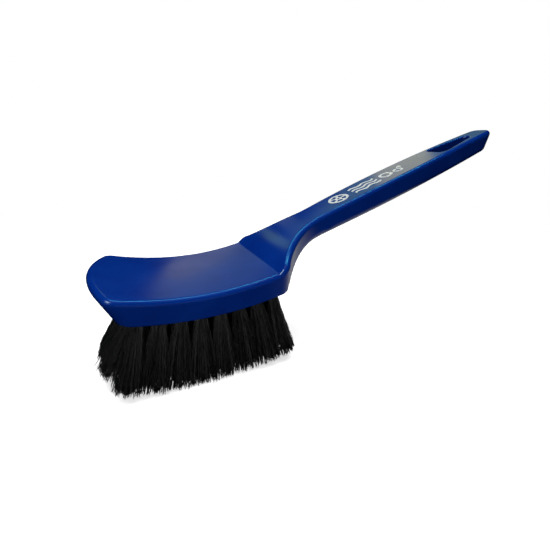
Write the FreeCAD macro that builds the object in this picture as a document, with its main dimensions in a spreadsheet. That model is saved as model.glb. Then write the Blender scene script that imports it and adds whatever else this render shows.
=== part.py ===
"""Wheel brush: one moulded handle and block, staple-set bristle tufts and their wire anchors.

Millimetres. The design frame has its origin in the brush's middle plane, near the middle of the block
and level with the lowest point of its concave top face, with +X towards the handle's tip, +Y across
the brush and +Z up. Reaches and heights are measured from it. The row frame is the design frame moved
so that its origin is the centre of the bottom of the whole brush's box.
"""
import FreeCAD, Part
import math
import os

import Sketcher
from FreeCAD import Placement, Rotation, Vector

OUT = "parts"

# alias, value, meaning
DIMENSIONS = [
    ("head_top_radius", 146.0, "radius of the block's concave top face, seen from the side"),
    ("head_low_reach", 2.3, "reach of the lowest point of that face"),
    ("block_thickness", 11.5, "top face to underside"),
    ("end_corner_reach", 34.0, "origin to the end corners, at level zero"),
    ("end_corner_half_width", 30.4, "half width at the end corners, at level zero"),
    ("end_bulge", 6.4, "how far the curved end stands beyond its corners"),
    ("head_half_width", 29.2, "half width where the side meets the shoulder corner"),
    ("side_draft", 6.7, "degrees the block's sides lean outwards, going up"),
    ("end_draft", 24.9, "degrees the curved end leans outwards, going up"),
    ("shoulder_corner_reach", 45.6, "origin to the widest point of the shoulder corners"),
    ("shoulder_corner_radius", 5.7, "outside corner between the block and the neck, in plan"),
    ("shoulder_radius", 31.3, "hollow of the neck, in plan"),
    ("grip_side_radius", 743.0, "gentle swell of the grip, in plan"),
    ("grip_half_width", 11.7, "half width at the swell"),
    ("grip_swell_reach", 116.6, "origin to the swell"),
    ("nose_radius", 5.7, "corners of the handle's tip, in plan"),
    ("nose_draft", 17.0, "degrees the tip leans outwards, going up"),
    ("tip_reach", 200.6, "origin to the tip, on the handle's top face"),
    ("tip_height", 73.7, "top face of the handle at the tip"),
    ("crease_reach", 38.2, "origin to the crease under the neck"),
    ("crease_radius", 1.5, "small fillet along the crease"),
    ("neck_top_reach", 65.6, "where the neck's ramp runs into the handle"),
    ("neck_top_height", 23.4, "top face there"),
    ("handle_bow_radius", 2137.0, "slight bow of the handle, seen from the side"),
    ("underside_reach", 69.0, "where the hollow under the neck runs into the handle"),
    ("underside_height", 13.3, "underside there"),
    ("underside_slope", 20.3, "degrees of the handle's underside"),
    ("underside_radius", 38.0, "hollow under the neck"),
    ("hang_start", 157.6, "square end of the hang hole"),
    ("hang_half_width", 6.5, "half width of the hang hole at its square end"),
    ("hang_corner_radius", 3.5, "corners of the square end"),
    ("hang_tip_centre", 182.3, "centre of the round end"),
    ("hang_tip_radius", 3.0, "radius of the round end"),
    ("end_corner_fillet", 5.5, "upright corners of the curved end"),
    ("rim_fillet", 2.1, "top rim, all round"),
    ("grip_fillet", 3.2, "underside edges of the grip"),
    ("block_fillet", 0.8, "lower rim of the block"),
    ("hang_fillet", 0.9, "rims of the hang hole"),
    ("tuft_row_pitch", 11.4, "row to row across the brush"),
    ("tuft_first_reach", -25.5, "first tuft of the middle row, from the origin"),
    ("tuft_outer_first_reach", -24.6, "first tuft of the two outer rows"),
    ("tuft_last_reach", 37.4, "last tuft of every row"),
    ("tuft_hole_diameter", 4.8, "blind hole of a tuft"),
    ("tuft_hole_depth", 7.5, "depth of that hole along the tuft"),
    ("tuft_root_diameter", 4.7, "bundle in the hole"),
    ("tuft_tip_diameter", 9.6, "bundle at its cut end"),
    ("tuft_free_length", 32.3, "bundle outside the block"),
    ("tuft_fan_reach", 16.8, "reach of the line that the tufts of an inner row fan out from"),
    ("tuft_fan_height", 80.0, "height of that line"),
    ("tuft_outer_fan_reach", 8.8, "the same reach for the two outer rows"),
    ("tuft_outer_fan_height", 114.0, "the same height for the two outer rows"),
    ("tuft_row_fan_height", 330.0, "height of the line that the rows fan out from"),
    ("anchor_length", 5.6, "wire anchor across the hole; its ends bite into the plastic"),
    ("anchor_width", 1.4, "along the hole"),
    ("anchor_thickness", 0.5, "thickness of the flat wire"),
    ("anchor_depth", 5.0, "middle of the anchor below the block's underside"),
    ("loft_bottom", -16.0, "level of the lower plan outline"),
    ("loft_top", 84.0, "level of the upper plan outline"),
    ("origin_forward", 77.9, "design origin to the middle of the whole brush"),
    ("origin_down", 44.1, "design origin to the bristle tips"),
]

TUFT_COLUMNS = 9
TUFT_ROWS = "abcde"
OUTER_ROWS = "ae"          # these hold one tuft fewer, because the end curves away from them

CLEAR = 30.0               # how far cutting shapes run past the solid they cut
PROFILE_REACH = 3          # side profiles start this many corner reaches to the left of the block
SAME_POINT = 0.001         # sketch points closer than this are one point
ON_PROFILE = 0.1           # how far a face that follows a side profile may leave it, at its fillets
EDGE_SAMPLES = 5           # points tested along each edge of such a face
LEAST_CUT = 1.0            # cubic millimetres that a cut must take away

doc = FreeCAD.newDocument("wheel_brush")
value = {alias: number for alias, number, meaning in DIMENSIONS}


def make_sheet():
    sheet = doc.addObject("Spreadsheet::Sheet", "dims")
    for row, (alias, number, meaning) in enumerate(DIMENSIONS, start=1):
        sheet.set(f"A{row}", meaning)
        sheet.set(f"B{row}", str(number))
        sheet.setAlias(f"B{row}", alias)
    doc.recompute()
    return sheet


def tangent(alias):
    return math.tan(math.radians(value[alias]))


# ---------------------------------------------------------------- sketch helpers

START, END, CENTRE = 1, 2, 3      # the numbers a sketch uses for the points of a line or an arc
ORIGIN = (-1, 1)                  # the sketch's own origin, as a geometry and point pair


def add_line(sketch, start, end):
    return sketch.addGeometry(Part.LineSegment(Vector(*start, 0), Vector(*end, 0)), False)


def add_arc(sketch, start, middle, end):
    arc = Part.Arc(Vector(*start, 0), Vector(*middle, 0), Vector(*end, 0))
    return sketch.addGeometry(arc, False)


def arc_ends(sketch, index, start):
    """(point number at the given start, point number at the other end) of an arc, which always runs
    anticlockwise in its sketch, whichever way it was drawn."""
    first = sketch.getPoint(index, START)
    if (first - Vector(*start, 0)).Length < SAME_POINT:
        return START, END
    return END, START


def size(sketch, kind, *places, expression):
    """A driving dimension bound to the sheet. It starts at the size that the geometry has."""
    name = f"{kind.lower()}_{sketch.ConstraintCount}"
    if kind == "Radius":
        start = sketch.Geometry[places[0]].Radius
        index = sketch.addConstraint(Sketcher.Constraint(kind, places[0], start))
    else:
        point = sketch.getPoint(*places)
        start = point.x if kind == "DistanceX" else point.y
        index = sketch.addConstraint(Sketcher.Constraint(kind, *ORIGIN, *places, start))
    sketch.renameConstraint(index, name)
    sketch.setExpression(f"Constraints.{name}", expression)


def join(sketch, first, second, smooth=False):
    """Two (geometry, point) pairs share a point, and a tangent too when smooth."""
    kind = "Tangent" if smooth else "Coincident"
    sketch.addConstraint(Sketcher.Constraint(kind, *first, *second))


def plane(body, role):
    return next(f for f in body.Origin.OriginFeatures if f.Role == role)


def new_sketch(body, name, role, level=None):
    sketch = body.newObject("Sketcher::SketchObject", name)
    sketch.AttachmentSupport = [(plane(body, role), "")]
    sketch.MapMode = "FlatFace"
    if level:
        sketch.setExpression("AttachmentOffset.Base.z", f"dims.{level}")
    return sketch


# ---------------------------------------------------------------- plan geometry

def circle_crossing(first, first_distance, second, second_distance, upper):
    """The point at given distances from two centres; upper picks the one with the larger y."""
    span = math.dist(first, second)
    along = (first_distance ** 2 - second_distance ** 2 + span ** 2) / (2 * span)
    aside = math.sqrt(first_distance ** 2 - along ** 2)
    ux, uy = (second[0] - first[0]) / span, (second[1] - first[1]) / span
    sign = 1 if (ux > 0) == upper else -1
    return first[0] + along * ux - sign * aside * uy, first[1] + along * uy + sign * aside * ux


def toward(centre, target, distance):
    span = math.dist(centre, target)
    return tuple(c + (t - c) * distance / span for c, t in zip(centre, target))


def on_arc(centre, radius, start, end):
    """The middle of the short arc from start to end."""
    middle = ((start[0] + end[0]) / 2, (start[1] + end[1]) / 2)
    return toward(centre, middle, radius)


def plan_side(level):
    """Corner points of one side of the plan outline at a level, and the circles between them."""
    corner = (-value["end_corner_reach"] - level * tangent("end_draft"),
              value["end_corner_half_width"] + level * tangent("side_draft"))
    radius = value["shoulder_corner_radius"]
    shoulder_corner = (value["shoulder_corner_reach"] - radius,
                       value["head_half_width"] + level * tangent("side_draft") - radius)
    slope = math.atan2(shoulder_corner[1] + radius - corner[1], shoulder_corner[0] - corner[0])
    side_end = (shoulder_corner[0] - radius * math.sin(slope), shoulder_corner[1] + radius * math.cos(slope))
    grip = (value["grip_swell_reach"], value["grip_half_width"] - value["grip_side_radius"])
    hollow_radius = value["shoulder_radius"]
    hollow = circle_crossing(shoulder_corner, radius + hollow_radius,
                             grip, value["grip_side_radius"] + hollow_radius, upper=True)
    nose_radius = value["nose_radius"]
    tip = value["tip_reach"] + (level - value["tip_height"]) * tangent("nose_draft")
    nose_x = tip - nose_radius
    reach = value["grip_side_radius"] - nose_radius
    nose = (nose_x, grip[1] + math.sqrt(reach ** 2 - (nose_x - grip[0]) ** 2))
    points = [corner, side_end,
              toward(shoulder_corner, hollow, radius),
              toward(grip, hollow, value["grip_side_radius"]),
              toward(grip, nose, value["grip_side_radius"]),
              (tip, nose[1])]
    circles = [(shoulder_corner, radius), (hollow, hollow_radius),
               (grip, value["grip_side_radius"]), (nose, nose_radius)]
    return points, circles


def plan_outline(body, name, level_alias):
    """The brush's outline seen from above, at one level. Draft moves the block's sides, the curved
    end and the tip from level to level."""
    level = value[level_alias]
    sketch = new_sketch(body, name, "XY_Plane", level_alias)
    points, circles = plan_side(level)
    lift = f"dims.{level_alias} * tan(dims.side_draft * 1 deg)"
    end_lift = f"dims.{level_alias} * tan(dims.end_draft * 1 deg)"
    tip_lift = f"(dims.{level_alias} - dims.tip_height) * tan(dims.nose_draft * 1 deg)"
    corners, noses = [], []
    for side, sign in (("", -1), ("-", 1)):
        place = [(x, y * sign) for x, y in points]
        line = add_line(sketch, place[0], place[1])
        previous = (line, END)
        arcs = []
        for index, (centre, radius) in enumerate(circles, start=1):
            centre = (centre[0], centre[1] * sign)
            start, end = place[index], place[index + 1]
            arc = add_arc(sketch, start, on_arc(centre, radius, start, end), end)
            near, far = arc_ends(sketch, arc, start)
            join(sketch, previous, (arc, near), smooth=True)
            previous = (arc, far)
            arcs.append(arc)
        shoulder_corner, hollow, grip, nose = arcs
        corners.append((line, START))
        noses.append(previous)
        away = "-" if sign < 0 else ""
        size(sketch, "DistanceX", line, START, expression=f"-dims.end_corner_reach - {end_lift}")
        size(sketch, "DistanceY", line, START, expression=f"{away}(dims.end_corner_half_width + {lift})")
        size(sketch, "Radius", shoulder_corner, expression="dims.shoulder_corner_radius")
        size(sketch, "DistanceX", shoulder_corner, CENTRE,
             expression="dims.shoulder_corner_reach - dims.shoulder_corner_radius")
        size(sketch, "DistanceY", shoulder_corner, CENTRE,
             expression=f"{away}(dims.head_half_width + {lift} - dims.shoulder_corner_radius)")
        size(sketch, "Radius", hollow, expression="dims.shoulder_radius")
        size(sketch, "Radius", grip, expression="dims.grip_side_radius")
        size(sketch, "DistanceX", grip, CENTRE, expression="dims.grip_swell_reach")
        size(sketch, "DistanceY", grip, CENTRE,
             expression=f"{away}(dims.grip_half_width - dims.grip_side_radius)")
        size(sketch, "Radius", nose, expression="dims.nose_radius")
    tip_x = points[-1][0]
    nose_line = add_line(sketch, (tip_x, -points[-1][1]), (tip_x, points[-1][1]))
    join(sketch, noses[0], (nose_line, START), smooth=True)
    join(sketch, noses[1], (nose_line, END), smooth=True)
    sketch.addConstraint(Sketcher.Constraint("Vertical", nose_line))
    size(sketch, "DistanceX", nose_line, START, expression=f"dims.tip_reach + {tip_lift}")
    corner = points[0]
    apex = (corner[0] - value["end_bulge"], 0)
    end_arc = add_arc(sketch, corner, apex, (corner[0], -corner[1]))
    upper, lower = arc_ends(sketch, end_arc, corner)
    join(sketch, (end_arc, lower), corners[0])
    join(sketch, (end_arc, upper), corners[1])
    half = f"(dims.end_corner_half_width + {lift})"
    size(sketch, "Radius", end_arc, expression=f"({half} * {half} / dims.end_bulge + dims.end_bulge) / 2")
    return sketch


# ---------------------------------------------------------------- side profiles

def top_profile(body):
    """Everything above the brush, seen from the side: it is cut away. Its lower edge is the hollow
    top of the block, the ramp of the neck and the slightly bowed handle."""
    sketch = new_sketch(body, "top_profile", "XZ_Plane")
    radius = value["head_top_radius"]
    low = value["head_low_reach"]
    left = -PROFILE_REACH * value["end_corner_reach"]
    right = value["tip_reach"] + CLEAR
    roof = value["loft_top"] + CLEAR

    def hollow(x):
        return radius - math.sqrt(radius ** 2 - (x - low) ** 2)

    start = (left, hollow(left))
    crease = (value["crease_reach"], hollow(value["crease_reach"]))
    neck = (value["neck_top_reach"], value["neck_top_height"])
    tip = (value["tip_reach"], value["tip_height"])
    bow = value["handle_bow_radius"]
    chord = math.dist(neck, tip)
    drop = math.sqrt(bow ** 2 - chord ** 2 / 4)
    ux, uz = (tip[0] - neck[0]) / chord, (tip[1] - neck[1]) / chord
    bow_centre = ((neck[0] + tip[0]) / 2 + drop * uz, (neck[1] + tip[1]) / 2 - drop * ux)
    finish = (right, bow_centre[1] + math.sqrt(bow ** 2 - (right - bow_centre[0]) ** 2))
    head = add_arc(sketch, start, (low, 0), crease)
    handle = add_arc(sketch, neck, tip, finish)
    slope = math.atan2(bow_centre[0] - neck[0], neck[1] - bow_centre[1])
    rise = math.atan2(neck[1] - crease[1], neck[0] - crease[0])
    ramp_radius = math.dist(crease, neck) / (2 * math.sin(rise - slope))
    ramp_centre = (neck[0] + ramp_radius * math.sin(slope), neck[1] - ramp_radius * math.cos(slope))
    ramp = add_arc(sketch, crease, on_arc(ramp_centre, ramp_radius, crease, neck), neck)
    right_side = add_line(sketch, finish, (right, roof))
    top_side = add_line(sketch, (right, roof), (left, roof))
    left_side = add_line(sketch, (left, roof), start)
    head_left, head_right = arc_ends(sketch, head, start)
    ramp_left, ramp_right = arc_ends(sketch, ramp, crease)
    handle_left, handle_right = arc_ends(sketch, handle, neck)
    join(sketch, (head, head_right), (ramp, ramp_left))
    join(sketch, (ramp, ramp_right), (handle, handle_left), smooth=True)
    join(sketch, (handle, handle_right), (right_side, START))
    join(sketch, (right_side, END), (top_side, START))
    join(sketch, (top_side, END), (left_side, START))
    join(sketch, (left_side, END), (head, head_left))
    for line in (right_side, left_side):
        sketch.addConstraint(Sketcher.Constraint("Vertical", line))
    sketch.addConstraint(Sketcher.Constraint("Horizontal", top_side))
    size(sketch, "Radius", head, expression="dims.head_top_radius")
    size(sketch, "DistanceX", head, CENTRE, expression="dims.head_low_reach")
    size(sketch, "DistanceY", head, CENTRE, expression="dims.head_top_radius")
    size(sketch, "DistanceX", head, head_left, expression=f"-{PROFILE_REACH} * dims.end_corner_reach")
    size(sketch, "DistanceX", head, head_right, expression="dims.crease_reach")
    size(sketch, "DistanceX", handle, handle_left, expression="dims.neck_top_reach")
    size(sketch, "DistanceY", handle, handle_left, expression="dims.neck_top_height")
    size(sketch, "Radius", handle, expression="dims.handle_bow_radius")
    size(sketch, "DistanceX", handle, handle_right, expression=f"dims.tip_reach + {CLEAR}")
    size(sketch, "DistanceY", top_side, START, expression=f"dims.loft_top + {CLEAR}")
    mark = sketch.addGeometry(Part.Point(Vector(*tip, 0)), True)
    sketch.addConstraint(Sketcher.Constraint("PointOnObject", mark, START, handle))
    size(sketch, "DistanceX", mark, START, expression="dims.tip_reach")
    size(sketch, "DistanceY", mark, START, expression="dims.tip_height")
    return sketch


def bottom_profile(body):
    """Everything below the plastic, seen from the side: it is cut away. Its upper edge is the block's
    underside, which runs parallel to its top, the hollow under the neck and the handle's underside."""
    sketch = new_sketch(body, "bottom_profile", "XZ_Plane")
    centre = (value["head_low_reach"], value["head_top_radius"])
    radius = value["head_top_radius"] + value["block_thickness"]
    left = -PROFILE_REACH * value["end_corner_reach"]
    right = value["tip_reach"] + CLEAR
    floor = value["loft_bottom"] - CLEAR
    slope = math.radians(value["underside_slope"])
    start = (left, centre[1] - math.sqrt(radius ** 2 - (left - centre[0]) ** 2))
    run_in = (value["underside_reach"], value["underside_height"])
    hollow_radius = value["underside_radius"]
    hollow_centre = (run_in[0] + hollow_radius * math.sin(slope), run_in[1] - hollow_radius * math.cos(slope))
    heel = circle_crossing(hollow_centre, hollow_radius, centre, radius, upper=False)
    finish = (right, run_in[1] + (right - run_in[0]) * math.tan(slope))
    block = add_arc(sketch, start, (centre[0], -value["block_thickness"]), heel)
    hollow = add_arc(sketch, heel, on_arc(hollow_centre, hollow_radius, heel, run_in), run_in)
    handle = add_line(sketch, run_in, finish)
    right_side = add_line(sketch, finish, (right, floor))
    base_side = add_line(sketch, (right, floor), (left, floor))
    left_side = add_line(sketch, (left, floor), start)
    block_left, block_right = arc_ends(sketch, block, start)
    hollow_left, hollow_right = arc_ends(sketch, hollow, heel)
    join(sketch, (block, block_right), (hollow, hollow_left))
    join(sketch, (hollow, hollow_right), (handle, START), smooth=True)
    join(sketch, (handle, END), (right_side, START))
    join(sketch, (right_side, END), (base_side, START))
    join(sketch, (base_side, END), (left_side, START))
    join(sketch, (left_side, END), (block, block_left))
    for line in (right_side, left_side):
        sketch.addConstraint(Sketcher.Constraint("Vertical", line))
    sketch.addConstraint(Sketcher.Constraint("Horizontal", base_side))
    size(sketch, "Radius", block, expression="dims.head_top_radius + dims.block_thickness")
    size(sketch, "DistanceX", block, CENTRE, expression="dims.head_low_reach")
    size(sketch, "DistanceY", block, CENTRE, expression="dims.head_top_radius")
    size(sketch, "DistanceX", block, block_left, expression=f"-{PROFILE_REACH} * dims.end_corner_reach")
    size(sketch, "Radius", hollow, expression="dims.underside_radius")
    size(sketch, "DistanceX", handle, START, expression="dims.underside_reach")
    size(sketch, "DistanceY", handle, START, expression="dims.underside_height")
    size(sketch, "DistanceX", handle, END, expression=f"dims.tip_reach + {CLEAR}")
    size(sketch, "DistanceY", handle, END,
         expression="dims.underside_height + (dims.tip_reach + "
                    f"{CLEAR} - dims.underside_reach) * tan(dims.underside_slope * 1 deg)")
    size(sketch, "DistanceY", base_side, START, expression=f"dims.loft_bottom - {CLEAR}")
    return sketch


def hang_hole_outline(body):
    """A square end towards the grip, and straight sides that close in to a round end at the tip."""
    sketch = new_sketch(body, "hang_hole", "XY_Plane")
    corner = value["hang_corner_radius"]
    inner = (value["hang_start"] + corner, value["hang_half_width"] - corner)
    tip = (value["hang_tip_centre"], 0)
    tip_radius = value["hang_tip_radius"]
    span = math.dist(inner, tip)
    lean = math.atan2(tip[1] - inner[1], tip[0] - inner[0]) + math.pi / 2
    lean += math.asin((tip_radius - corner) / span)
    facing = (math.cos(lean), math.sin(lean))
    ends = []
    for sign in (-1, 1):
        centre = (inner[0], inner[1] * sign)
        square = (value["hang_start"], centre[1])
        leave = (centre[0] + corner * facing[0], centre[1] + corner * facing[1] * sign)
        arrive = (tip[0] + tip_radius * facing[0], tip_radius * facing[1] * sign)
        arc = add_arc(sketch, square, on_arc(centre, corner, square, leave), leave)
        side = add_line(sketch, leave, arrive)
        near, far = arc_ends(sketch, arc, square)
        join(sketch, (arc, far), (side, START), smooth=True)
        size(sketch, "Radius", arc, expression="dims.hang_corner_radius")
        size(sketch, "DistanceX", arc, CENTRE, expression="dims.hang_start + dims.hang_corner_radius")
        away = "-" if sign < 0 else ""
        size(sketch, "DistanceY", arc, CENTRE,
             expression=f"{away}(dims.hang_half_width - dims.hang_corner_radius)")
        ends.append(((arc, near), square, (side, END), arrive))
    (low_arc, low_square, low_side, low_arrive), (high_arc, high_square, high_side, high_arrive) = ends
    round_end = add_arc(sketch, low_arrive, (tip[0] + tip_radius, 0), high_arrive)
    low, high = arc_ends(sketch, round_end, low_arrive)
    join(sketch, low_side, (round_end, low), smooth=True)
    join(sketch, high_side, (round_end, high), smooth=True)
    size(sketch, "Radius", round_end, expression="dims.hang_tip_radius")
    size(sketch, "DistanceX", round_end, CENTRE, expression="dims.hang_tip_centre")
    square_end = add_line(sketch, low_square, high_square)
    join(sketch, low_arc, (square_end, START), smooth=True)
    join(sketch, high_arc, (square_end, END), smooth=True)
    return sketch


# ---------------------------------------------------------------- the moulded piece

def pocket(body, name, base, sketch):
    """Cuts the sketch right through the base feature, to both sides of the sketch's plane."""
    cut = body.newObject("PartDesign::Pocket", name)
    cut.Profile = sketch
    cut.Type = "ThroughAll"
    cut.Midplane = True
    doc.recompute()
    if cut.Shape.isNull() or cut.Shape.Volume > base.Shape.Volume - LEAST_CUT:
        raise RuntimeError(f"{name} cut nothing")
    return cut


def lies_on(face, profile):
    """Whether every point of a face's edges falls on the profile, seen from the side."""
    for edge in face.Edges:
        for point in edge.discretize(EDGE_SAMPLES):
            if profile.distToShape(Part.Vertex(Vector(point.x, 0, point.z)))[0] > ON_PROFILE:
                return False
    return True


def edges_between(feature, inside, outside):
    """Names of the feature's edges that join a face of one kind to a face of the other kind."""
    shape = feature.Shape
    names = []
    for index, edge in enumerate(shape.Edges, start=1):
        faces = shape.ancestorsOfType(edge, Part.Face)
        if any(inside(f) for f in faces) and any(outside(f) for f in faces):
            names.append(f"Edge{index}")
    return names


def round_edges(body, name, base, edges, size_alias):
    if not edges:
        raise RuntimeError(f"{name} found no edges")
    feature = body.newObject("PartDesign::Fillet", name)
    feature.Base = (base, edges)
    feature.Radius = value[size_alias]
    feature.setExpression("Radius", f"dims.{size_alias}")
    doc.recompute()
    if feature.Shape.isNull() or "Invalid" in feature.State:
        raise RuntimeError(f"{name} could not be rounded")
    return feature


def handle_body():
    """The moulded piece before its tuft holes: a plan outline with draft, cut above and below by the
    two side profiles, then rounded."""
    body = doc.addObject("PartDesign::Body", "moulding")
    lower = plan_outline(body, "plan_low", "loft_bottom")
    upper = plan_outline(body, "plan_high", "loft_top")
    doc.recompute()
    loft = body.newObject("PartDesign::AdditiveLoft", "plan_loft")
    loft.Profile = lower
    loft.Sections = [upper]
    loft.Ruled = True
    doc.recompute()
    above = top_profile(body)
    below = bottom_profile(body)
    doc.recompute()
    top_cut = pocket(body, "top_cut", loft, above)
    bottom_cut = pocket(body, "bottom_cut", top_cut, below)

    def on_top(face):
        return lies_on(face, above.Shape)

    def on_bottom(face):
        return lies_on(face, below.Shape)

    def on_side(face):
        return not on_top(face) and not on_bottom(face)

    def under_block(face):
        return on_bottom(face) and face.CenterOfMass.x < value["crease_reach"]

    def under_handle(face):
        return on_bottom(face) and face.CenterOfMass.x > value["crease_reach"]

    def curved_end(face):
        return on_side(face) and face.CenterOfMass.x < -value["end_corner_reach"]

    def long_side(face):
        return on_side(face) and abs(face.CenterOfMass.x) < value["end_corner_reach"] / 2

    def block_top(face):
        return on_top(face) and face.CenterOfMass.x < value["crease_reach"] / 2

    def neck_top(face):
        return on_top(face) and value["crease_reach"] < face.CenterOfMass.x < value["neck_top_reach"]

    corners = round_edges(body, "end_corners", bottom_cut,
                          edges_between(bottom_cut, curved_end, long_side), "end_corner_fillet")
    crease = round_edges(body, "crease", corners,
                         edges_between(corners, block_top, neck_top), "crease_radius")
    rim = round_edges(body, "rim", crease, edges_between(crease, on_top, on_side), "rim_fillet")
    grip = round_edges(body, "grip_edges", rim, edges_between(rim, under_handle, on_side), "grip_fillet")
    lower = edges_between(grip, under_block, on_side) + edges_between(grip, under_block, under_handle)
    block = round_edges(body, "block_rim", grip, lower, "block_fillet")
    hang_sketch = hang_hole_outline(body)
    doc.recompute()
    hang = pocket(body, "hang_cut", block, hang_sketch)

    def in_hole(face):
        box = face.BoundBox
        return (box.XMin > value["hang_start"] - SAME_POINT
                and max(-box.YMin, box.YMax) < value["hang_half_width"] + SAME_POINT
                and box.XMax < value["hang_tip_centre"] + value["hang_tip_radius"] + SAME_POINT)

    def not_in_hole(face):
        return not in_hole(face)

    rims = round_edges(body, "hang_rims", hang, edges_between(hang, in_hole, not_in_hole), "hang_fillet")
    body.Tip = rims
    return body


# ---------------------------------------------------------------- tufts and anchors

def row_place():
    """Moves the design frame to the row frame."""
    return Placement(Vector(-value["origin_forward"], 0, value["origin_down"]), Rotation())


def row_start(letter, y):
    """(number of the first tuft, its reach) of a row. The inner rows start nearer the end where the
    end stands out further."""
    if letter in OUTER_ROWS:
        return 2, value["tuft_outer_first_reach"]
    curve = value["end_bulge"] * (y / value["end_corner_half_width"]) ** 2
    return 1, value["tuft_first_reach"] + curve


def row_fan(letter):
    """(reach, height) of the line that the tufts of a row fan out from."""
    if letter in OUTER_ROWS:
        return value["tuft_outer_fan_reach"], value["tuft_outer_fan_height"]
    return value["tuft_fan_reach"], value["tuft_fan_height"]


def tuft_places():
    """{tuft name: its frame}. A frame stands on the block's underside, with +Z out along the tuft. The
    tufts of a row are evenly spaced, and lean away from the middle as if from one line high above the
    block. The rows lean apart a little in the same way."""
    places = {}
    radius = value["head_top_radius"] + value["block_thickness"]
    middle_row = (len(TUFT_ROWS) - 1) / 2
    for row, letter in enumerate(TUFT_ROWS):
        y = (row - middle_row) * value["tuft_row_pitch"]
        first, reach = row_start(letter, y)
        fan_reach, fan_height = row_fan(letter)
        pitch = (value["tuft_last_reach"] - reach) / (TUFT_COLUMNS - first)
        for column in range(first, TUFT_COLUMNS + 1):
            x = reach + (column - first) * pitch
            drop = math.sqrt(radius ** 2 - (x - value["head_low_reach"]) ** 2)
            z = value["head_top_radius"] - drop
            lean = (x - fan_reach) / (fan_height - z)
            out = Vector(lean, y / (value["tuft_row_fan_height"] - z), -1)
            turn = Rotation(Vector(1, 0, 0), Vector(0, -1, 0), out, "ZXY")
            places[f"tuft_{letter}{column}"] = row_place() * Placement(Vector(x, y, z), turn)
    return places


def primitive(kind, name, place, **sizes):
    """A Part primitive whose sizes are bound to the sheet."""
    thing = doc.addObject(f"Part::{kind}", name)
    for key, expression in sizes.items():
        thing.setExpression(key, expression)
    thing.Placement = place
    return thing


def anchor_box(name, tuft_place):
    """The flat wire anchor, standing on edge across the hole."""
    corner = Vector(-value["anchor_length"] / 2, -value["anchor_thickness"] / 2,
                    -value["anchor_depth"] - value["anchor_width"] / 2)
    return primitive("Box", name, tuft_place * Placement(corner, Rotation()),
                     Length="dims.anchor_length", Width="dims.anchor_thickness", Height="dims.anchor_width")


def drill(name, tuft_place):
    """The blind hole, run out past the underside so that it opens cleanly."""
    start = Vector(0, 0, -value["tuft_hole_depth"])
    return primitive("Cylinder", name, tuft_place * Placement(start, Rotation()),
                     Radius="dims.tuft_hole_diameter / 2", Height="dims.tuft_hole_depth * 2")


def tuft(name, place):
    """A bundle folded round its anchor: a domed fold, a tight root in the hole and a flaring brush."""
    fold_height = value["tuft_hole_depth"] - value["tuft_hole_diameter"] / 2
    fold = primitive("Sphere", f"{name}_fold", Placement(Vector(0, 0, -fold_height), Rotation()),
                     Radius="dims.tuft_root_diameter / 2")
    root = primitive("Cylinder", f"{name}_root", Placement(Vector(0, 0, -fold_height), Rotation()),
                     Radius="dims.tuft_root_diameter / 2",
                     Height="dims.tuft_hole_depth - dims.tuft_hole_diameter / 2")
    flare = primitive("Cone", f"{name}_flare", Placement(),
                      Radius1="dims.tuft_root_diameter / 2", Radius2="dims.tuft_tip_diameter / 2",
                      Height="dims.tuft_free_length")
    bundle = doc.addObject("Part::MultiFuse", f"{name}_bundle")
    bundle.Shapes = [fold, root, flare]
    bundle.Refine = True
    slot = anchor_box(f"{name}_slot", Placement())
    cut = doc.addObject("Part::Cut", name)
    cut.Base = bundle
    cut.Tool = slot
    cut.Placement = place
    return cut


def group(name, members):
    compound = doc.addObject("Part::Compound", name)
    compound.Links = members
    return compound


# ---------------------------------------------------------------- the assembly

def check(parts):
    doc.recompute()
    for item in doc.Objects:
        if "Invalid" in item.State or "Error" in item.State:
            raise RuntimeError(f"{item.Label} failed: {item.State}")
    for part in parts:
        if part.Shape.isNull() or not part.Shape.isValid() or not part.Shape.Solids:
            raise RuntimeError(f"{part.Label} has no valid solid")


def write(parts):
    os.makedirs(OUT, exist_ok=True)
    for part in parts:
        part.Shape.exportStep(os.path.join(OUT, f"{part.Label}.step"))


def main():
    make_sheet()
    moulding = handle_body()
    moulding.Placement = row_place()
    places = tuft_places()
    drills = [drill(f"drill_{name}", place) for name, place in places.items()]
    anchors = group("wire_anchors", [anchor_box(f"anchor_{name}", place) for name, place in places.items()])
    block = doc.addObject("Part::Cut", "handle_block")
    block.Base = moulding
    block.Tool = group("tuft_hole_tools", drills + [anchors])
    tufts = [tuft(name, place) for name, place in places.items()]
    parts = [block, anchors] + tufts
    check(parts)
    write(parts)
    return parts


main()
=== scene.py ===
"""Looks of the wheel brush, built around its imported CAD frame. Metres, in the row frame."""

import math

import bpy
import numpy as np
from mathutils import Matrix, Vector


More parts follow.
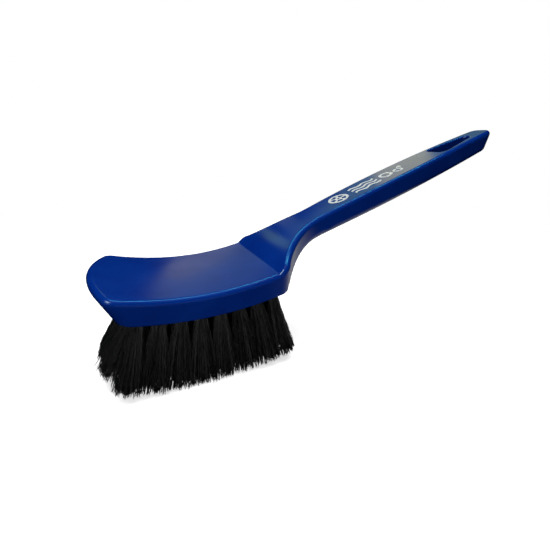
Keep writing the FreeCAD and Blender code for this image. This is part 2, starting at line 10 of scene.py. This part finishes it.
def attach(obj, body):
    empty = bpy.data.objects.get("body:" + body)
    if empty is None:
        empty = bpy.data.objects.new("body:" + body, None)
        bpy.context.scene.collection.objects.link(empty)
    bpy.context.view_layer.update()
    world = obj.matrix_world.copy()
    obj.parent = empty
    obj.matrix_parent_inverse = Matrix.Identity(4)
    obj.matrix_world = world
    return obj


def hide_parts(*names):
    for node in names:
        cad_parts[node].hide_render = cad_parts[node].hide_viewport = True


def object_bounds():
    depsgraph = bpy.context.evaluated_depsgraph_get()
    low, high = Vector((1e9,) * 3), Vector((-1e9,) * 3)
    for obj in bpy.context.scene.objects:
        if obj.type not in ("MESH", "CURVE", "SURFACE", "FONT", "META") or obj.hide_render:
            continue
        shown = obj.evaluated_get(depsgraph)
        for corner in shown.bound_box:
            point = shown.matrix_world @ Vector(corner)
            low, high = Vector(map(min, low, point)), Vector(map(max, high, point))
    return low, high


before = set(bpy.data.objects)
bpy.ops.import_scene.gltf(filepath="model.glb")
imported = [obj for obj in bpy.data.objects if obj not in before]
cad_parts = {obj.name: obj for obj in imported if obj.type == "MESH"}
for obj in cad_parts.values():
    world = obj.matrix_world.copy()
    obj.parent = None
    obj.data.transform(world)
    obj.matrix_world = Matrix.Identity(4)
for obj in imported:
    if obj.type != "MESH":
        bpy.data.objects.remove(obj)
cad_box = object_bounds()

MM = 0.001
SEED = 20

# bristles
FILAMENTS = 340               # to a tuft
RINGS = 15                    # rings along one filament
SIDES = 3                     # sides of one filament
FILAMENT_RADIUS = 0.18 * MM
THINNEST, THICKEST = 0.85, 1.15   # filaments, as shares of that radius
WORN, CUT = 0.9, 0.6              # how much of its radius a filament keeps near its tip, and at it
START_DEPTH = 5.5 * MM        # filaments start this far inside the hole
FOLD_DEPTH = 7.45 * MM        # from the block's underside to the fold of the bundle
ROOT_RADIUS = 2.15 * MM
TIP_RADIUS = 7.2 * MM         # where a tuft's filaments can spread among other tufts
EDGE_TIP_RADIUS = 4.3 * MM    # on the outer side of the brush
NEAR_NEIGHBOUR = 8.0 * MM     # a tip this near to another tuft's middle spreads fully
FAR_NEIGHBOUR = 13.0 * MM     # and one this far away keeps to the narrow spread
INNER_BEND = 0.7              # below 1 the filaments spread early, near the block
EDGE_BEND = 1.25              # above 1 they spread late
CLUMPS = 22                   # filaments of a tuft lean together in so many clumps
CLUMP_SPREAD = 0.35 * MM
STRAY_SPREAD = 0.5 * MM
EXTRA_LENGTH = 1.3 * MM       # filaments end this far past the CAD cone, more or less
CUT_UNEVEN = 0.35 * MM
CRIMP = 0.2 * MM              # height of the waves in each filament
CRIMP_TURNS = (4.0, 7.0)      # and how many waves it has

# print on the grip: a wheel, water and bubbles, from left to right
WHEEL_REACH = 10.5 * MM
WHEEL_RADIUS = 5.6 * MM
WAVE_REACH = 19.5 * MM
WAVE_LENGTH = 17 * MM
WAVE_PITCH = 3.6 * MM
WAVE_HEIGHT = 0.75 * MM
WAVE_STROKE = 1.7 * MM
BUBBLES = ((42.8, 0.0, 3.9, 2.3), (50.6, -1.2, 2.9, 1.6), (54.6, 2.6, 1.4, 0.0))  # x, y, radii, in mm
PRINT_DROP = 10 * MM          # it is dropped onto the grip from this far above the brush
INK_THICKNESS = 0.04 * MM

# stage
FLOOR_GAP = 1.5 * MM          # from the lowest point of the CAD frame to the floor
FLOOR_HALF = 3.0
SHADED_FLOOR = 0.2            # the floor takes shadows this near to the frame's origin
WHITE_FLOOR = 0.5             # and is plain white from here on
POOL = (0.12, -0.02, 0)       # middle of the bright pool that the gloss sees on the floor
POOL_BRIGHT, POOL_DARK = 0.06, 0.15   # it fades out between these distances
HEAD = Vector((-0.08, 0, 0.045))      # what the lamps face
CARD_DISTANCE = 0.4           # from the brush's middle plane to the cards behind it

# camera: its place, the directions of the picture's axes, its lens and sensor width in millimetres,
# its shift in picture widths, and how near it can see
CAMERA_PLACE = Vector((-103.96, -155.10, 104.26)) * MM
CAMERA_RIGHT = Vector((0.9035, -0.4278, 0.0269))
CAMERA_UP = Vector((0.1377, 0.3491, 0.9269))
CAMERA_LENS = 21.515
CAMERA_SENSOR = 36.0
CAMERA_SHIFT = (0.0015, 0.0038)
CAMERA_NEAR = 0.01


# ---------------------------------------------------------------- node helpers

def new_material(name):
    material = bpy.data.materials.new(name)
    material.use_nodes = True
    tree = material.node_tree
    return material, tree, tree.nodes["Principled BSDF"]


def add(tree, kind, **values):
    """A node of that kind. Each value sets the property or else the input socket of that name."""
    node = tree.nodes.new("ShaderNode" + kind)
    for name, value in values.items():
        if hasattr(node, name):
            setattr(node, name, value)
        else:
            node.inputs[name].default_value = value
    return node


def link(tree, source, target):
    tree.links.new(source, target)


def coordinates(tree, scale=(1, 1, 1)):
    """The row frame's own coordinates, because every CAD node's object sits at the origin."""
    place = add(tree, "TexCoord")
    mapping = add(tree, "Mapping")
    mapping.inputs["Scale"].default_value = scale
    link(tree, place.outputs["Object"], mapping.inputs["Vector"])
    return mapping.outputs["Vector"]


def noise(tree, vector, scale, detail=4.0, roughness=0.55):
    node = add(tree, "TexNoise", Scale=scale, Detail=detail, Roughness=roughness)
    link(tree, vector, node.inputs["Vector"])
    return node.outputs["Fac"]


def remap(tree, source, low, high, to_low, to_high):
    node = add(tree, "MapRange")
    for name, value in zip(("From Min", "From Max", "To Min", "To Max"), (low, high, to_low, to_high)):
        node.inputs[name].default_value = value
    link(tree, source, node.inputs["Value"])
    return node.outputs["Result"]


def math_node(tree, operation, first, second):
    node = add(tree, "Math", operation=operation)
    for socket, value in zip(node.inputs, (first, second)):
        if isinstance(value, (int, float)):
            socket.default_value = value
        else:
            link(tree, value, socket)
    return node.outputs["Value"]


def mix_colour(tree, factor, first, second):
    node = add(tree, "Mix", data_type="RGBA")
    link(tree, factor, node.inputs["Factor"])
    for socket, value in ((node.inputs[6], first), (node.inputs[7], second)):
        if isinstance(value, tuple):
            socket.default_value = value
        else:
            link(tree, value, socket)
    return node.outputs[2]


def bump(tree, height, strength, distance):
    node = add(tree, "Bump", Strength=strength, Distance=distance)
    link(tree, height, node.inputs["Height"])
    return node.outputs["Normal"]


# ---------------------------------------------------------------- materials

def blue_plastic():
    """Glossy moulded plastic: a faint mottle, handling smudges in the gloss, fine scuffs along the
    brush and a slight waviness of the moulded surface."""
    material, tree, shader = new_material("blue_plastic")
    plain = coordinates(tree)
    mottle = noise(tree, plain, 55.0)
    colour = mix_colour(tree, remap(tree, mottle, 0.35, 0.65, 0, 1),
                        (0.0004, 0.023, 0.225, 1), (0.0007, 0.03, 0.26, 1))
    smudge = noise(tree, plain, 38.0, detail=6.0, roughness=0.6)
    scuff = noise(tree, coordinates(tree, (90, 700, 700)), 2.0, detail=5.0, roughness=0.7)
    gloss = math_node(tree, "ADD", remap(tree, smudge, 0.35, 0.7, 0.14, 0.2),
                      remap(tree, scuff, 0.6, 0.75, 0, 0.1))
    wave = noise(tree, plain, 45.0, detail=1.0)
    grain = noise(tree, plain, 2600.0, detail=3.0)
    height = math_node(tree, "ADD", wave, math_node(tree, "MULTIPLY", grain, 0.006))
    link(tree, colour, shader.inputs["Base Color"])
    link(tree, gloss, shader.inputs["Roughness"])
    link(tree, bump(tree, height, 0.5, 0.05 * MM), shader.inputs["Normal"])
    shader.inputs["IOR"].default_value = 1.5
    return material


def bristle_nylon():
    """Black nylon: every filament has its own tone and gloss, and the lighter lines along a few
    filaments are painted highlights.
    """
    material, tree, shader = new_material("bristle_nylon")
    geometry = add(tree, "NewGeometry")
    each = geometry.outputs["Random Per Island"]
    # painted highlights: lighter lines along a few filaments stand in for their glints, and the tone
    # also differs at random from filament to filament
    highlight_streak = noise(tree, coordinates(tree, (1400, 1400, 220)), 1.0, detail=3.0)
    tone_and_highlight = math_node(tree, "MULTIPLY", math_node(tree, "POWER", each, 4.0), highlight_streak)
    colour = mix_colour(tree, tone_and_highlight, (0.002, 0.002, 0.0022, 1), (0.09, 0.09, 0.085, 1))
    link(tree, colour, shader.inputs["Base Color"])
    link(tree, remap(tree, each, 0, 1, 0.28, 0.5), shader.inputs["Roughness"])
    shader.inputs["IOR"].default_value = 1.53
    return material


def anchor_wire():
    """Drawn steel: bright, with fine lines along the wire."""
    material, tree, shader = new_material("anchor_wire")
    lines = noise(tree, coordinates(tree, (200, 6000, 6000)), 1.0, detail=2.0)
    colour = mix_colour(tree, lines, (0.42, 0.42, 0.43, 1), (0.62, 0.62, 0.62, 1))
    link(tree, colour, shader.inputs["Base Color"])
    link(tree, remap(tree, lines, 0.3, 0.7, 0.25, 0.45), shader.inputs["Roughness"])
    shader.inputs["Metallic"].default_value = 1.0
    return material


def white_ink():
    """White printing ink, slightly worn and uneven."""
    material, tree, shader = new_material("white_ink")
    wear = noise(tree, coordinates(tree), 900.0, detail=4.0)
    colour = mix_colour(tree, remap(tree, wear, 0.35, 0.7, 0, 1),
                        (0.72, 0.74, 0.74, 1), (0.5, 0.54, 0.58, 1))
    link(tree, colour, shader.inputs["Base Color"])
    link(tree, remap(tree, wear, 0.3, 0.7, 0.35, 0.55), shader.inputs["Roughness"])
    return material


def set_material(piece, material):
    piece.data.materials.clear()
    piece.data.materials.append(material)


# ---------------------------------------------------------------- bristles

def tuft_line(node):
    """(fold end, cut end) of a tuft's middle line, from the vertices of its CAD node."""
    points = np.array([v.co for v in node.data.vertices], float)
    centre = points.mean(0)
    direction = np.linalg.svd(points - centre, full_matrices=False)[2][0]
    direction *= -np.sign(direction[2])
    along = (points - centre) @ direction
    return centre + direction * along.min(), centre + direction * along.max()


def sideways(direction):
    """Two unit directions square to a direction."""
    first = np.cross(direction, (0, 1, 0))
    first /= np.linalg.norm(first)
    return first, np.cross(direction, first)


def spread_tips(random, cut, across, neighbours):
    """Where the tips lie about the middle of the cut end, wide towards other tufts and narrow away
    from them. Returns their unit places in the tuft, those tips, and 1 for the narrow ones."""
    radius = np.sqrt(random.uniform(0, 1, FILAMENTS))
    angle = random.uniform(0, 2 * math.pi, FILAMENTS)
    disc = np.stack([radius * np.cos(angle), radius * np.sin(angle)], 1)
    wide = cut + disc @ across * TIP_RADIUS
    nearest = np.linalg.norm(wide[:, None] - neighbours[None], axis=2).min(1)
    edge = np.clip((nearest - NEAR_NEIGHBOUR) / (FAR_NEIGHBOUR - NEAR_NEIGHBOUR), 0, 1)
    reach = TIP_RADIUS + (EDGE_TIP_RADIUS - TIP_RADIUS) * edge
    clump_middle = disc[random.choice(FILAMENTS, CLUMPS, replace=False)]
    clump = np.argmin(np.linalg.norm(disc[:, None] - clump_middle[None], axis=2), axis=1)
    lean = random.normal(0, CLUMP_SPREAD, (CLUMPS, 2))[clump]
    stray = random.normal(0, STRAY_SPREAD, (FILAMENTS, 2))
    return disc, disc * reach[:, None] + lean + stray, edge


def filament_paths(random, fold, cut, neighbours):
    """Points along the middle of every filament of a tuft, FILAMENTS by RINGS."""
    length = np.linalg.norm(cut - fold)
    direction = (cut - fold) / length
    across = np.array(sideways(direction))
    disc, tip, edge = spread_tips(random, cut, across, neighbours)
    free = length - FOLD_DEPTH
    reach = free + EXTRA_LENGTH + random.normal(0, CUT_UNEVEN, FILAMENTS)
    share = np.linspace(0, 1, RINGS)
    out = -START_DEPTH + (reach[:, None] + START_DEPTH) * share[None]
    bend = INNER_BEND + (EDGE_BEND - INNER_BEND) * edge[:, None]
    flare = (np.clip(out / free, 0, None) ** bend)[..., None]
    aside = disc[:, None] * ROOT_RADIUS * (1 - flare) + tip[:, None] * flare
    turns = random.uniform(*CRIMP_TURNS, FILAMENTS)
    phase = random.uniform(0, 2 * math.pi, (FILAMENTS, 2))
    swing = 2 * math.pi * turns[:, None, None] * share[None, :, None] + phase[:, None]
    aside += CRIMP * np.sin(swing) * np.sqrt(share)[None, :, None]
    middle = (fold + direction * FOLD_DEPTH) + out[..., None] * direction
    return middle + aside @ across


def tube_mesh(name, paths, radii):
    """Thin tubes along the paths, closed at both ends."""
    count, rings = paths.shape[:2]
    along = np.gradient(paths, axis=1)
    along /= np.linalg.norm(along, axis=2, keepdims=True)
    first = np.cross(along, (0, 1, 0))
    first /= np.linalg.norm(first, axis=2, keepdims=True)
    second = np.cross(along, first)
    corner = 2 * math.pi * np.arange(SIDES) / SIDES
    ring = (np.cos(corner)[:, None] * first[:, :, None] + np.sin(corner)[:, None] * second[:, :, None])
    points = paths[:, :, None] + ring * radii[..., None, None]
    start = np.arange(count)[:, None, None] * rings * SIDES + np.arange(rings - 1)[None, :, None] * SIDES
    side = np.arange(SIDES)[None, None]
    after = (side + 1) % SIDES
    quads = np.stack([start + side, start + after, start + after + SIDES, start + side + SIDES], -1)
    base = np.arange(count)[:, None] * rings * SIDES
    near = base + np.arange(SIDES)[::-1]
    far = base + (rings - 1) * SIDES + np.arange(SIDES)
    faces = quads.reshape(-1, 4).tolist() + near.tolist() + far.tolist()
    mesh = bpy.data.meshes.new(name)
    mesh.from_pydata(points.reshape(-1, 3).tolist(), [], faces)
    mesh.shade_smooth()
    return mesh


def make_tuft(name, lines, random, material, brush):
    """The filaments that stand for one CAD tuft."""
    fold, cut = lines[name]
    neighbours = np.array([line[1] for other, line in lines.items() if other != name])
    paths = filament_paths(random, fold, cut, neighbours)
    lowest = cad_box[0].z - FLOOR_GAP + FILAMENT_RADIUS
    paths[..., 2] = np.maximum(paths[..., 2], lowest)
    taper = np.linspace(1, WORN, RINGS)
    taper[-1] = CUT
    thick = FILAMENT_RADIUS * random.uniform(THINNEST, THICKEST, FILAMENTS)
    mesh = tube_mesh(f"{name}_filaments", paths, thick[:, None] * taper[None])
    piece = bpy.data.objects.new(f"{name}_filaments", mesh)
    brush.objects.link(piece)
    set_material(piece, material)
    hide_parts(name)
    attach(piece, "root")


# ---------------------------------------------------------------- print on the grip

def circle(x, y, radius, points=48):
    angles = [2 * math.pi * i / points for i in range(points)]
    return [(x + radius * math.cos(a), y + radius * math.sin(a)) for a in angles]


def wheel_window(x, y, inner, outer, start, end, points=8):
    """One opening between two spokes of a wheel."""
    steps = [start + (end - start) * i / points for i in range(points + 1)]
    far = [(x + outer * math.cos(a), y + outer * math.sin(a)) for a in steps]
    near = [(x + inner * math.cos(a), y + inner * math.sin(a)) for a in reversed(steps)]
    return far + near


def wheel_outlines(x, y, radius, spokes=5, rim=0.74, hub=0.34, cap=0.14, half_spoke=0.16):
    """A wheel with openings between its spokes. Rim, hub and cap are shares of its radius, and half a
    spoke is a share of the angle from spoke to spoke."""
    windows = []
    for spoke in range(spokes):
        start = 2 * math.pi * (spoke + half_spoke) / spokes
        end = 2 * math.pi * (spoke + 1 - half_spoke) / spokes
        windows.append(wheel_window(x, y, radius * hub, radius * rim, start, end))
    return [circle(x, y, radius), circle(x, y, radius * cap)] + windows


def wave_outline(x, y, length, height, stroke, waves=2, points=60):
    """A wavy stroke that runs along the brush."""
    steps = [i / points for i in range(points + 1)]
    middle = [(x + length * t, y + height * math.sin(2 * math.pi * waves * t)) for t in steps]
    return [(a, b + stroke / 2) for a, b in middle] + [(a, b - stroke / 2) for a, b in reversed(middle)]


def print_outlines():
    """Every outline of the print. One inside another is a hole in it."""
    outlines = wheel_outlines(WHEEL_REACH, 0, WHEEL_RADIUS)
    for y in (-WAVE_PITCH, 0, WAVE_PITCH):
        outlines.append(wave_outline(WAVE_REACH, y, WAVE_LENGTH, WAVE_HEIGHT, WAVE_STROKE))
    for x, y, outer, inner in BUBBLES:
        outlines.append(circle(x * MM, y * MM, outer * MM))
        if inner:
            outlines.append(circle(x * MM, y * MM, inner * MM))
    return outlines


def filled_outlines(outlines):
    """A flat mesh of the outlines, at height zero."""
    curve = bpy.data.curves.new("grip_print", "CURVE")
    curve.dimensions = "2D"
    curve.fill_mode = "BOTH"
    for outline in outlines:
        spline = curve.splines.new("POLY")
        spline.points.add(len(outline) - 1)
        for point, (x, y) in zip(spline.points, outline):
            point.co = (x, y, 0, 1)
        spline.use_cyclic_u = True
    flat = bpy.data.objects.new("flat_print", curve)
    bpy.context.scene.collection.objects.link(flat)
    bpy.context.view_layer.update()
    mesh = bpy.data.meshes.new_from_object(flat)
    bpy.data.objects.remove(flat)
    return mesh


def make_print(block, material):
    """Plain pictures of a wheel, water and bubbles, laid on top of the grip."""
    mesh = filled_outlines(print_outlines())
    above = cad_box[1].z + PRINT_DROP
    down = Vector((0, 0, -1))
    for vertex in mesh.vertices:
        start = Vector((vertex.co.x, vertex.co.y, above))
        _, place, normal, _ = block.ray_cast(start, down)
        vertex.co = place + normal * INK_THICKNESS
    piece = bpy.data.objects.new("grip_print", mesh)
    bpy.context.scene.collection.objects.link(piece)
    set_material(piece, material)
    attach(piece, "root")


# ---------------------------------------------------------------- stage

def camera_sees(tree, seen, unseen):
    """Mixes two shaders: what the camera sees, and what lights and reflections see."""
    path = add(tree, "LightPath")
    mix = add(tree, "MixShader")
    link(tree, path.outputs["Is Camera Ray"], mix.inputs[0])
    link(tree, unseen, mix.inputs[1])
    link(tree, seen, mix.inputs[2])
    return mix.outputs[0]


def floor_seen(tree, place):
    """The floor to the camera: it takes a soft shadow near the brush and melts into white far away."""
    bright = add(tree, "BsdfDiffuse", Color=(0.9, 0.9, 0.9, 1))
    glow = add(tree, "Emission", Color=(1, 1, 1, 1), Strength=0.62)
    near = add(tree, "AddShader")
    link(tree, bright.outputs[0], near.inputs[0])
    link(tree, glow.outputs[0], near.inputs[1])
    white = add(tree, "Emission", Color=(1, 1, 1, 1), Strength=1.0)
    distance = add(tree, "VectorMath", operation="LENGTH")
    link(tree, place, distance.inputs[0])
    seen = add(tree, "MixShader")
    link(tree, remap(tree, distance.outputs["Value"], SHADED_FLOOR, WHITE_FLOOR, 0, 1), seen.inputs[0])
    link(tree, near.outputs[0], seen.inputs[1])
    link(tree, white.outputs[0], seen.inputs[2])
    return seen.outputs[0]


def floor_unseen(tree, place):
    """The floor to everything else: dull, so that the plastic keeps its colour, and black in the gloss
    but for one bright pool."""
    dull = add(tree, "BsdfDiffuse", Color=(0.1, 0.1, 0.1, 1))
    pool = add(tree, "Emission", Color=(1, 1, 1, 1), Strength=0.7)
    from_pool = add(tree, "VectorMath", operation="DISTANCE")
    from_pool.inputs[1].default_value = POOL
    link(tree, place, from_pool.inputs[0])
    mirrored = add(tree, "MixShader")
    link(tree, remap(tree, from_pool.outputs["Value"], POOL_BRIGHT, POOL_DARK, 0, 1), mirrored.inputs[0])
    link(tree, pool.outputs[0], mirrored.inputs[1])
    path = add(tree, "LightPath")
    unseen = add(tree, "MixShader")
    link(tree, path.outputs["Is Glossy Ray"], unseen.inputs[0])
    link(tree, dull.outputs[0], unseen.inputs[1])
    link(tree, mirrored.outputs[0], unseen.inputs[2])
    return unseen.outputs[0]


def make_floor():
    """A pale, level floor just under the bristles."""
    mesh = bpy.data.meshes.new("floor")
    corners = [(x * FLOOR_HALF, y * FLOOR_HALF, 0) for x, y in ((-1, -1), (1, -1), (1, 1), (-1, 1))]
    mesh.from_pydata(corners, [], [(0, 1, 2, 3)])
    floor = bpy.data.objects.new("floor", mesh)
    floor.location.z = cad_box[0].z - FLOOR_GAP
    bpy.context.scene.collection.objects.link(floor)
    material, tree, shader = new_material("floor")
    tree.nodes.remove(shader)
    place = add(tree, "NewGeometry").outputs["Position"]
    out = camera_sees(tree, floor_seen(tree, place), floor_unseen(tree, place))
    link(tree, out, tree.nodes["Material Output"].inputs["Surface"])
    mesh.materials.append(material)


def make_world():
    """White to the camera, and a nearly dark room to everything else."""
    world = bpy.data.worlds.new("studio")
    world.use_nodes = True
    tree = world.node_tree
    tree.nodes.clear()
    white = add(tree, "Background", Color=(1, 1, 1, 1), Strength=1.0)
    dim = add(tree, "Background", Color=(0.9, 0.95, 1, 1), Strength=0.006)
    out = camera_sees(tree, white.outputs[0], dim.outputs[0])
    end = add(tree, "OutputWorld")
    link(tree, out, end.inputs["Surface"])
    bpy.context.scene.world = world


def lamp(name, place, away, width, height, radiance, colour, seen_by):
    """A rectangular lamp whose back faces away. Its colour times its radiance is what a mirror shows.
    Seen by says which light it gives: diffuse or gloss."""
    light = bpy.data.lights.new(name, "AREA")
    light.shape = "RECTANGLE"
    light.size = width
    light.size_y = height
    light.energy = radiance * math.pi * width * height
    light.color = colour
    holder = bpy.data.objects.new(name, light)
    holder.location = place
    holder.rotation_mode = "QUATERNION"
    holder.rotation_quaternion = (-away).to_track_quat("-Z", "Y")
    holder.visible_diffuse = "diffuse" in seen_by
    holder.visible_glossy = "gloss" in seen_by
    holder.visible_camera = False
    bpy.context.scene.collection.objects.link(holder)
    return holder


def softbox(name, azimuth, elevation, distance, width, height, radiance, colour, seen_by):
    """A lamp that faces the head. Azimuth 0 is behind the brush, and 90 at its tip. Width and
    height are the angles that it fills."""
    turn, rise = math.radians(azimuth), math.radians(elevation)
    away = Vector((math.sin(turn) * math.cos(rise), math.cos(turn) * math.cos(rise), math.sin(rise)))
    wide = 2 * distance * math.tan(math.radians(width / 2))
    high = 2 * distance * math.tan(math.radians(height / 2))
    return lamp(name, HEAD + away * distance, away, wide, high, radiance, colour, seen_by)


def card(name, left, right, low, high, radiance, colour):
    """An upright card behind the brush that only shows in its gloss."""
    place = Vector(((left + right) / 2, CARD_DISTANCE, (low + high) / 2))
    lamp(name, place, Vector((0, 1, 0)), right - left, high - low, radiance, colour, "gloss")


def make_lights(brush):
    """A ceiling and soft fills light the shapes, and the rest is there for the gloss to mirror. Only
    the bristles see their own lamp."""
    white, warm, pink, mauve = (1, 1, 1), (1, 1, 0.3), (1, 0.93, 0.3), (0.7, 0.95, 0.4)
    teal, cyan = (0.55, 1, 0.2), (0.1, 0.75, 1)
    softbox("ceiling", 0, 90, 1.5, 44, 44, 5.5, white, "diffuse")
    softbox("left_fill", -105, 15, 0.35, 50, 40, 0.9, white, "diffuse")
    softbox("front_fill", 174, 2, 0.2, 40, 30, 2.0, white, "diffuse")
    softbox("back_fill", 40, 35, 1.0, 40, 30, 0.4, white, "diffuse")
    softbox("rim_strip", 42, 68, 1.5, 44, 6, 11.0, cyan, "gloss")
    softbox("left_lamp", -112, 50, 1.5, 30, 24, 8.0, (0.7, 1, 0.95), "gloss")
    softbox("left_card", -125, 25, 1.0, 40, 12, 0.5, white, "gloss")
    softbox("right_card", 52, 14, 1.0, 20, 8, 0.35, white, "gloss")
    card("head_card", -0.015, 0.065, 0.206, 0.3, 0.32, mauve)
    card("head_low_card", -0.022, 0.035, 0.16, 0.206, 0.6, pink)
    card("neck_card", -0.12, -0.07, 0.25, 0.315, 0.8, teal)
    card("top_card", -0.12, 0.275, 0.322, 0.42, 0.55, teal)
    card("grip_card", 0.275, 0.43, 0.3, 0.5, 1.2, warm)
    card("tip_card", 0.43, 0.75, 0.3, 0.55, 0.3, teal)
    bristle_lamp = softbox("bristle_lamp", 180, 0, 0.8, 80, 30, 2.0, white, "gloss")
    bristle_lamp.light_linking.receiver_collection = brush


def make_camera():
    camera = bpy.data.objects.new("camera", bpy.data.cameras.new("camera"))
    back = CAMERA_RIGHT.cross(CAMERA_UP).normalized()
    up = back.cross(CAMERA_RIGHT).normalized()
    turn = Matrix((CAMERA_RIGHT.normalized(), up, back)).transposed()
    camera.matrix_world = Matrix.Translation(CAMERA_PLACE) @ turn.to_4x4()
    camera.data.lens = CAMERA_LENS
    camera.data.sensor_width = CAMERA_SENSOR
    camera.data.shift_x, camera.data.shift_y = CAMERA_SHIFT
    camera.data.clip_start = CAMERA_NEAR
    bpy.context.scene.collection.objects.link(camera)
    bpy.context.scene.camera = camera


def main():
    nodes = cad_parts
    set_material(nodes["handle_block"], blue_plastic())
    set_material(nodes["wire_anchors"], anchor_wire())
    make_print(nodes["handle_block"], white_ink())
    nylon = bristle_nylon()
    brush = bpy.data.collections.new("bristles")
    bpy.context.scene.collection.children.link(brush)
    tufts = sorted(name for name in nodes if name.startswith("tuft_"))
    lines = {name: tuft_line(nodes[name]) for name in tufts}
    for number, name in enumerate(tufts):
        make_tuft(name, lines, np.random.default_rng(SEED + number), nylon, brush)
    make_floor()
    make_world()
    make_lights(brush)
    make_camera()
    bpy.context.scene.view_settings.view_transform = "Standard"


main()
